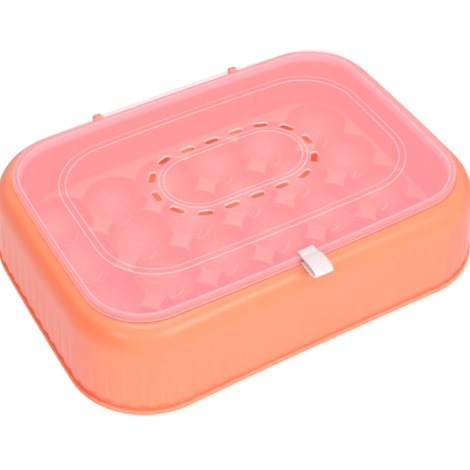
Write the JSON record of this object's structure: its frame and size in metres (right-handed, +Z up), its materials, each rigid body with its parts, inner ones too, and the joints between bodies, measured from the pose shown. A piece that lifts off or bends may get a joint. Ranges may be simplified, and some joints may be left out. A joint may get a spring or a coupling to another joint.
{
  "type": "egg keeper with flip lid",
  "caption": "Low moulded plastic egg keeper: reeded double-walled body, tray of egg cups, hinged vented lid with a front pull loop.",
  "frame": {"origin": "centre of the footprint, on the surface that the keeper stands on", "axes": "+X along the length, -Y towards the front with the pull loop, +Y towards the hinge, +Z up"},
  "size_m": [0.325, 0.236, 0.079],
  "materials": {
    "body_plastic": "translucent orange polypropylene, satin",
    "tray_plastic": "translucent orange polypropylene, satin",
    "lid_plastic": "milky translucent polypropylene, fine satin",
    "loop_plastic": "soft white moulded strap"
  },
  "bodies": {
    "base": {"body_shell": "body_plastic", "egg_tray": "tray_plastic"},
    "lid": {"lid": "lid_plastic", "pull_loop": "loop_plastic"}
  },
  "joints": [
    {"name": "lid_hinge", "type": "hinge", "parent": "base", "child": "lid", "pos_m": [0, 0.1045, 0.069], "axis": [-1, 0, 0], "range_deg": [0, 120]}
  ]
}
